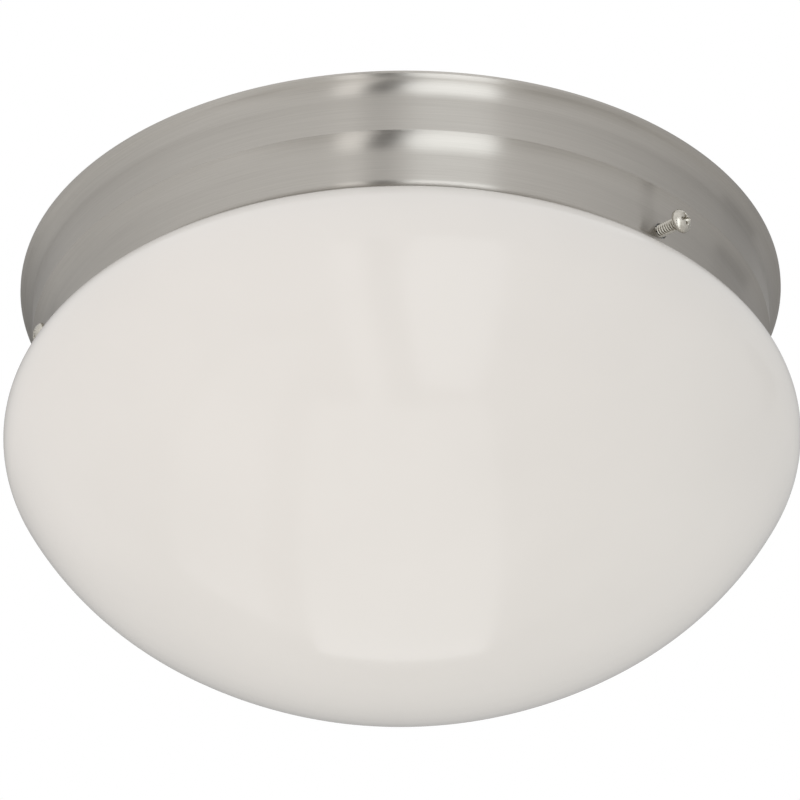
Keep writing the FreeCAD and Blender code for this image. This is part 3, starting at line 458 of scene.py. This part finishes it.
# Inside back up to the lip, 3.2 mm within.
SHADE_INSIDE = outline([
    (0.0, -152.42), Arc(175.17, True), (109.224, -114.192), Arc(116.1, True), (139.372, -77.865),
    Arc(26.8, True), (142.5, -65.3), Arc(21.0, True), (121.5, -44.3), Arc(4.9, False),
    (116.6, -39.4), (116.6, -29.5),
], 1.5, math.radians(3))
SHADE_SHELL = lathe(np.concatenate([SHADE, SHADE_INSIDE[:-1]]), 300, closed=True)
piece("opal_shade", [SHADE_SHELL], opal_glass, "shade", ["shade"], 50)

# ---------------------------------------------------------------- fitter screws
# Number 10 machine screws with a round head and a cross recess; Z is the way out.
SCREW_RADIUS, SCREW_LENGTH, SCREW_PITCH = 2.41, 12.7, 1.058
THREAD_HALF_DEPTH, THREAD_END = 0.33, -0.9
TIP_TAPER, TIP_LENGTH = 0.3, 0.8
SHANK_ROWS = 180
HEAD_RADIUS, HEAD_HEIGHT, HEAD_CORNER = 4.4, 3.1, 0.15
HEAD_FLAT, HEAD_SIDE = 0.45 * HEAD_RADIUS, 0.35 * HEAD_HEIGHT
RECESS_DEPTH, RECESS_REACH, RECESS_RAMP = 1.9, 2.35, 2.0
RECESS_HALF_WIDTH, RECESS_SIDE = 0.58, 0.16
# The wall's radius at a hole's middle, and how far out of it each head's underside rests.
FITTER_WALL_RADIUS = 132.081
FITTER_REACHES = [9.3, 2.66, 2.66]


def screw_shell_of(columns=72):
    """A machine screw: the head's line and the shank's, turned, with the thread as a swell.

    The cross recess lowers the top by its depth times side x ramp^0.6 of the deeper arm: side goes
    from 1 to 0 across the arm's side, and ramp from 1 to 0 along the arm to its end.
    """
    top = np.stack([np.linspace(0, HEAD_FLAT, 17), np.full(17, HEAD_HEIGHT)], -1)
    dome = outline(
        [(HEAD_FLAT, HEAD_HEIGHT), Arc(0.9 * HEAD_RADIUS, False), (HEAD_RADIUS, HEAD_SIDE)],
        facet=math.radians(3.5),
    )
    under = outline(
        [(HEAD_RADIUS, HEAD_SIDE), (HEAD_RADIUS, HEAD_CORNER), (HEAD_RADIUS - HEAD_CORNER, 0.0),
         (SCREW_RADIUS, 0.0)], 0.7,
    )
    shank = np.stack([np.full(SHANK_ROWS, SCREW_RADIUS), np.linspace(0, -SCREW_LENGTH, SHANK_ROWS)], -1)
    tip = np.array([(SCREW_RADIUS - 0.5, -SCREW_LENGTH), (0.0, -SCREW_LENGTH)])
    line = np.concatenate([top[:-1], dome[:-1], under[:-1], shank, tip])
    row = len(line) - len(tip) - 1 - np.arange(len(line))
    on_shank = (row >= 0) & (row < SHANK_ROWS)

    def thread(turn, height):
        depth = THREAD_HALF_DEPTH * between(-SCREW_LENGTH, THREAD_END, 0.5, height)
        taper = np.clip((-SCREW_LENGTH + TIP_LENGTH - height) / TIP_LENGTH, 0, 1) * TIP_TAPER
        return on_shank[:, None] * (-depth * (1 - helix(SCREW_PITCH, height, turn)) - taper)

    points, faces = lathe(line, columns, swell=thread)
    x, y = points[:, 0], points[:, 1]
    arms = []
    for along, across in ((x, y), (y, x)):
        side = np.clip((RECESS_HALF_WIDTH - np.abs(across)) / RECESS_SIDE, 0, 1)
        ramp = np.clip((RECESS_REACH - np.abs(along)) / RECESS_RAMP, 0, 1)
        arms.append(side * ramp ** 0.6)
    on_top = points[:, 2] > 1.2
    points[:, 2] -= RECESS_DEPTH * np.maximum(*arms) * on_top
    return points, faces


SCREW = screw_shell_of()
for number, (turn, reach) in enumerate(zip(FITTER_TURNS, FITTER_REACHES), 1):
    out = (math.cos(turn) * math.cos(DRAFT), math.sin(turn) * math.cos(DRAFT), -math.sin(DRAFT))
    radius = FITTER_WALL_RADIUS + reach * math.cos(DRAFT)
    foot = (radius * math.cos(turn), radius * math.sin(turn), -FITTER_DEPTH - reach * math.sin(DRAFT))
    piece(
        f"threaded_fitter_screw_{number}", [(stood(SCREW[0], foot, out, math.radians(20)), SCREW[1])],
        bright_nickel, f"fitter_screw_{number}", [f"fitter_screw_{number}"], 50,
    )

# ---------------------------------------------------------------- lampholders and lamps
# Each lies along X. Z runs from the holder's back to its mouth, or from the lamp's contact to its crown.
LAMP_DEPTH, LAMP_SPREAD, HOLDER_BACK = -48.0, 34.0, 62.4
SHELL_SEAT, LAMP_SEAT = 12.0, 14.8
LAMP_PITCH = 3.629
HOLDER = softened([
    (0, 0), (15.5, 0), (15.5, 10), (18.5, 13), (18.5, 42), (14, 42), (14, 12), (0, 12),
], 1.2, 4.0)
SHELL = outline([
    (6.2, 0), (12.9, 0), Arc(0.85, True), (13.75, 0.85), (13.75, 26), (13.3, 26), (13.3, 0.95),
    Arc(0.5, False), (12.8, 0.45), (6.2, 0.45),
], 0.3)
CAP = outline([
    (9.4, 4.6), (12.4, 6.6), Arc(0.8, True), (12.75, 7.3), (12.75, 23.4), (13.0, 23.9), (13.0, 24.8),
    (12.8, 25), (12.38, 25), (12.38, 7.4), (9.4, 5.1),
], 0.3)
ENVELOPE = outline([
    (0, 8.0), (12.35, 8.0), (12.35, 28.0), Arc(59.3, False), (23.98, 61.97), Arc(30.0, True),
    (30.0, 80.0), Arc(30.0, True), (0.0, 110.0),
], 3.0, math.radians(2.5))
CONNECTOR = softened([
    (0, 13.2), (3.1, 13.2), (3.1, 0), (6.3, 0), (6.3, 2.6), (6.0, 3.4), (4.2, 19.0), (3.1, 22), (0, 22),
], 0.5, 0.8)


def shell_wave(turn, height):
    """The rolled thread of the brass shell, 0.19 mm either way."""
    return 0.19 * helix(LAMP_PITCH, height, turn) * between(1.5, 25.4, 1.0, height)


def cap_wave(turn, height):
    """The rolled thread of the lamp's cap, 0.24 mm either way, on its outside only."""
    outside = np.arange(len(height))[:, None] < len(height) * 0.5
    return 0.24 * helix(LAMP_PITCH, height, turn) * between(7.2, 23.6, 1.0, height) * outside


def on_axis(shell, side, along):
    """Stands a shell on this side's lamp axis, this far in mm from the holder's back."""
    foot = ((HOLDER_BACK - along) * side, -LAMP_SPREAD * side, LAMP_DEPTH)
    return [(stood(shell[0], foot, (-side, 0, 0)), shell[1])]


HOLDER_SHELL, LAMP_SHELL = lathe(HOLDER, 96), lathe(ENVELOPE, 128)
BRASS_SHELL = lathe(SHELL, 96, swell=shell_wave, closed=True)
CAP_SHELL = lathe(CAP, 96, swell=cap_wave, closed=True)
for number, side in ((1, 1), (2, -1)):
    piece(
        f"porcelain_holder_{number}", on_axis(HOLDER_SHELL, side, 0.0), porcelain, "root",
        [f"lampholder_{number}"], 50,
    )
    piece(
        f"rolled_shell_{number}", on_axis(BRASS_SHELL, side, SHELL_SEAT), brass, "root",
        [f"screw_shell_{number}"], 60,
    )
    piece(
        f"lamp_bulb_{number}", on_axis(LAMP_SHELL, side, LAMP_SEAT), frosted_glass,
        f"lamp_{number}", [f"lamp_envelope_{number}"], 60,
    )
    piece(
        f"rolled_cap_{number}", on_axis(CAP_SHELL, side, LAMP_SEAT), aluminium,
        f"lamp_{number}", [f"lamp_cap_{number}"], 60,
    )


def ribs(turn, height):
    """Twelve grips round the connector: 0.3 mm times cos 12 t, fading out at its mouth and tip."""
    outside = np.arange(len(height))[:, None] > len(height) * 0.45
    return 0.3 * (np.cos(12 * turn) - 1) * between(3.0, 20.0, 1.5, height) * outside


CONNECTOR_SHELL = lathe(CONNECTOR, 96, swell=ribs)
SPLICE_REACH, SPLICE_LEVEL = 22.0, -16.5
connectors = [
    (stood(CONNECTOR_SHELL[0], (0, SPLICE_REACH * side, SPLICE_LEVEL), (0, side, 0)), CONNECTOR_SHELL[1])
    for side in (-1, 1)
]
piece("twist_connectors", connectors, orange_plastic, "root", ["wire_connectors"], 40)

# ---------------------------------------------------------------- glass wool pad
PAD_MIDDLE, PAD_HALF_WIDTH = 88.5, 37.5
PAD_LEVEL, PAD_HALF_HEIGHT = -4.75, 4.15
PAD_WAVES = ((60, 1.0), (34, 0.8), (18, 0.5), (9, 0.35), (5, 0.22), (3, 0.15))


def wool_pad(columns=320, section=96):
    """A soft ring: a rounded box section round Z, pulled in everywhere by a sum of waves.

    The section is a superellipse, |x/a|^5 + |z/b|^5 = 1, and each wave is a sine of x, y and the
    place in the section, from 60 mm down to 3 mm long.
    """
    random = np.random.default_rng(5)
    turn = np.arange(columns) * TURN / columns
    loop = (np.arange(section) * TURN / section)[:, None]
    cos, sin = np.cos(loop), np.sin(loop)
    wide = np.sign(cos) * np.abs(cos) ** 0.4
    high = np.sign(sin) * np.abs(sin) ** 0.4
    reach = PAD_MIDDLE + PAD_HALF_WIDTH * wide
    x, y = reach * np.cos(turn), reach * np.sin(turn)
    waves = np.zeros((section, columns))
    for length, height in PAD_WAVES:
        for _ in range(6):
            heading, phase = random.uniform(0, TURN), random.uniform(0, TURN, 2)
            along = (x * math.cos(heading) + y * math.sin(heading)) * TURN / length
            waves += height / 6 * (1 + np.sin(along + phase[0] + 2.0 * np.sin(loop + phase[1])))
    upper = np.clip(high, -0.2, 1)
    radius = PAD_MIDDLE + (PAD_HALF_WIDTH - 0.9 * waves) * wide
    level = PAD_LEVEL + PAD_HALF_HEIGHT * high - 0.8 * waves * upper
    points = np.stack([radius * np.cos(turn), radius * np.sin(turn), level], -1)
    return points.reshape(-1, 3), grid_faces(section, columns, True)


wool = piece("glass_wool_ring", [wool_pad()], glass_wool, "root", ["insulation_pad"], 80)

# ---------------------------------------------------------------- leads
LEAD_RADIUS = 1.2
SHORT_ROUTE = [
    (58.4, -44.5, -48), (71.4, -44.5, -48), (71.4, -44.5, -14.84), (39.4, -44.5, -14.84),
    (15.6, -18.92, -14.84), (1.6, -16.08, -16.5), (1.6, -28.6, -16.5),
]
LONG_ROUTE = [
    (58.4, -23.5, -48), (71.4, -23.5, -48), (71.4, -23.5, -12.44), (28.95, -15.04, -12.44),
    (19.28, -2.4, -12.44), (15.68, 13.2, -12.44), (1.6, 17.04, -16.5), (1.6, 28.6, -16.5),
]


def leads(name, routes, finish, replaces):
    """Round tubes on smooth splines of order 3 that take the routes' points as their controls."""
    curve = bpy.data.curves.new(name, "CURVE")
    curve.dimensions = "3D"
    curve.bevel_depth = LEAD_RADIUS * MM
    curve.bevel_resolution = 4
    curve.resolution_u = 16
    curve.use_fill_caps = True
    for route in routes:
        spline = curve.splines.new("NURBS")
        spline.points.add(len(route) - 1)
        at = np.concatenate([np.array(route) * MM, np.ones((len(route), 1))], 1)
        spline.points.foreach_set("co", at.ravel())
        spline.order_u = 3
        spline.use_endpoint_u = True
    curve.materials.append(finish)
    made = bpy.data.objects.new(name, curve)
    bpy.context.scene.collection.objects.link(made)
    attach(made, "root")
    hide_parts(replaces)


def turned(route):
    """A route turned half way round Z, for the other lampholder."""
    return [(-x, -y, z) for x, y, z in route]


leads("vinyl_leads_black", (SHORT_ROUTE, turned(LONG_ROUTE)), black_vinyl, "black_leads")
leads("vinyl_leads_white", (LONG_ROUTE, turned(SHORT_ROUTE)), white_vinyl, "white_leads")

# ---------------------------------------------------------------- finishes of the kept CAD nodes
KEPT = {
    "back_plate": enamel,
    "wire_bushing": nylon,
    "ground_screw": green_zinc,
    "holder_bracket_1": zinc,
    "holder_bracket_2": zinc,
    "holder_screws": zinc,
    "bracket_rivets": zinc,
    "fitter_nuts": zinc,
    "centre_contact_1": brass,
    "centre_contact_2": brass,
    "lamp_insulator_1": vitrite,
    "lamp_insulator_2": vitrite,
    "lamp_contact_1": solder,
    "lamp_contact_2": solder,
}
for name, finish in KEPT.items():
    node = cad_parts[name]
    if not node.material_slots:
        node.data.materials.append(finish)
    for place in node.material_slots:
        place.material = finish


# ---------------------------------------------------------------- studio
def stage_sheet(name, centre, facing, width, height, finish, lean=0.0, glossy_only=True):
    """A flat card of the studio, square to the line from it to what it faces, leaning by degrees."""
    mesh = bpy.data.meshes.new(name)
    x, y = width / 2, height / 2
    mesh.from_pydata([(-x, -y, 0), (x, -y, 0), (x, y, 0), (-x, y, 0)], [], [(0, 1, 2, 3)])
    mesh.materials.append(finish)
    made = bpy.data.objects.new(name, mesh)
    bpy.context.scene.collection.objects.link(made)
    made.location = centre
    made.rotation_mode = "QUATERNION"
    towards = (Vector(facing) - Vector(centre)).to_track_quat("Z", "Y")
    made.rotation_quaternion = towards @ Quaternion((0, 0, 1), math.radians(lean))
    if glossy_only:
        made.visible_camera = made.visible_diffuse = made.visible_shadow = False
        made.visible_transmission = False
    return made


def around_object(azimuth, elevation, distance):
    """A point seen from the object at this azimuth from -Y towards +X, and this elevation."""
    azimuth, elevation = math.radians(azimuth), math.radians(elevation)
    return (
        distance * math.sin(azimuth) * math.cos(elevation),
        -distance * math.cos(azimuth) * math.cos(elevation),
        distance * math.sin(elevation),
    )


def soft_lamp(name, place, facing, width, height, radiance, tint="FFFFFF"):
    """A rectangular lamp of this radiance and tint: power = radiance x pi x area."""
    light = bpy.data.lights.new(name, "AREA")
    light.shape = "RECTANGLE"
    light.size, light.size_y = width, height
    light.energy = radiance * math.pi * width * height
    light.color = linear(tint)[:3]
    made = bpy.data.objects.new(name, light)
    bpy.context.scene.collection.objects.link(made)
    made.location = place
    made.rotation_mode = "QUATERNION"
    made.rotation_quaternion = (Vector(facing) - Vector(place)).to_track_quat("-Z", "Y")
    made.visible_camera = False
    return made


def glow(name, level, tint="FFFFFF"):
    """A plain card that shows this level of light in reflections, in this tint."""
    made = bpy.data.materials.new(name)
    made.use_nodes = True
    tree = made.node_tree
    tree.nodes.remove(tree.nodes["Principled BSDF"])
    light = add(tree, "Emission", {"Color": linear(tint), "Strength": level})
    tree.links.new(light.outputs[0], tree.nodes["Material Output"].inputs["Surface"])
    return made


def surround(name, radius, foot, top, levels):
    """The studio's wall, seen only in reflections: a drum round Z whose grey goes by azimuth."""
    turn = np.arange(96) * TURN / 96
    ring = np.stack([radius * np.sin(turn), -radius * np.cos(turn)], -1)
    points = np.concatenate([np.column_stack([ring, np.full(96, level)]) for level in (foot, top)])
    mesh = bpy.data.meshes.new(name)
    mesh.from_pydata(points.tolist(), [], grid_faces(2, 96).tolist())
    made = bpy.data.materials.new(name)
    made.use_nodes = True
    tree = made.node_tree
    tree.nodes.remove(tree.nodes["Principled BSDF"])
    parts = add(tree, "SeparateXYZ", {0: add(tree, "TexCoord").outputs["Object"]})
    back = add(tree, "Math", {0: parts.outputs["Y"], 1: -1.0}, operation="MULTIPLY")
    turned_by = add(tree, "Math", {0: parts.outputs["X"], 1: back.outputs[0]}, operation="ARCTAN2")
    share = add(tree, "MapRange", {
        "Value": turned_by.outputs[0], "From Min": -math.pi, "From Max": math.pi,
    })
    ramp = add(tree, "ValToRGB", {"Fac": share.outputs["Result"]})
    stops = ramp.color_ramp.elements
    for azimuth, level in levels[1:-1]:
        stops.new((azimuth + 180) / 360).color = (level, level, level, 1)
    for stop, (_, level) in ((stops[0], levels[0]), (stops[-1], levels[-1])):
        stop.color = (level, level, level, 1)
    light = add(tree, "Emission", {"Color": ramp.outputs["Color"], "Strength": 1.5})
    tree.links.new(light.outputs[0], tree.nodes["Material Output"].inputs["Surface"])
    mesh.materials.append(made)
    drum = bpy.data.objects.new(name, mesh)
    bpy.context.scene.collection.objects.link(drum)
    drum.visible_camera = drum.visible_diffuse = drum.visible_shadow = drum.visible_transmission = False


# The floor lies below the place of any camera that looks up from 3 m.
FLOOR_LEVEL = -3.6
floor_paint = material("floor_paint", "F0EFEC", Roughness=0.9)
stage_sheet("floor", (0, 0, FLOOR_LEVEL), (0, 0, 0), 14, 14, floor_paint, glossy_only=False)
AIM = (0, 0, -0.06)
# Three lamps light the glass. The cards and the wall are seen only in reflections.
key = soft_lamp("left_key", around_object(-34, -24, 3.0), AIM, 2.4, 2.4, 0.72, "FFF0EA")
low = soft_lamp("low_fill", (0.0, 0.4, -2.38), (0, 0.4, 0), 2.4, 2.4, 0.58)
high = soft_lamp("high_fill", around_object(-6, 24, 3.0), AIM, 2.6, 1.6, 0.5)
key.visible_glossy = low.visible_glossy = high.visible_glossy = False
stage_sheet("front_softbox", around_object(14.8, -31, 2.3), AIM, 1.02, 3.1, glow("softbox", 2.55, "F8FCFF"))
stage_sheet("low_softbox", (-0.01, 0.75, -1.3), (-0.01, 0.75, 0), 0.92, 2.5, glow("low_card", 1.9))
stage_sheet("left_low_card", (-1.15, 0.2, -1.45), (-1.15, 0.2, 0), 0.8, 3.0, glow("low_left", 1.25))
stage_sheet("camera_flag", around_object(-3.8, -38, 2.15), AIM, 0.31, 3.2, glow("flag_grey", 0.0), -4.5)
stage_sheet("left_card", around_object(-13.0, -36, 2.25), AIM, 0.36, 3.0, glow("card_white", 1.95))
stage_sheet("right_flag", around_object(112, 8, 2.6), AIM, 0.8, 0.7, glow("dark_wall", 0.3))
# Levels are in the ramp's 0 to 1, and the wall glows at 1.5 times them.
surround("studio_wall", 3.4, -2.4, 5.5, [(azimuth, level / 1.5) for azimuth, level in (
    (-180, 0.28), (-150, 0.36), (-120, 0.82), (-100, 0.88), (-65, 1.06), (-31, 1.12), (0, 1.1), (28, 1.1),
    (40, 1.03), (56, 0.96), (77, 0.84), (100, 0.69), (125, 0.62), (150, 0.46), (180, 0.3),
)])

world = bpy.data.worlds.new("studio")
bpy.context.scene.world = world
world.use_nodes = True
tree = world.node_tree
path = add(tree, "LightPath")
seen = add(
    tree, "Math", {0: path.outputs["Is Camera Ray"], 1: path.outputs["Is Glossy Ray"]}, operation="ADD",
)
clear = add(
    tree, "Math", {0: seen.outputs[0], 1: path.outputs["Is Transmission Ray"]}, operation="ADD",
    use_clamp=True,
)
level = add(tree, "MapRange", {"Value": clear.outputs[0], "To Min": 0.84, "To Max": 1.0})
sky = tree.nodes["Background"]
sky.inputs["Color"].default_value = (1, 1, 1, 1)
tree.links.new(level.outputs["Result"], sky.inputs["Strength"])

bpy.context.scene.view_settings.view_transform = "Standard"

bpy.context.view_layer.update()
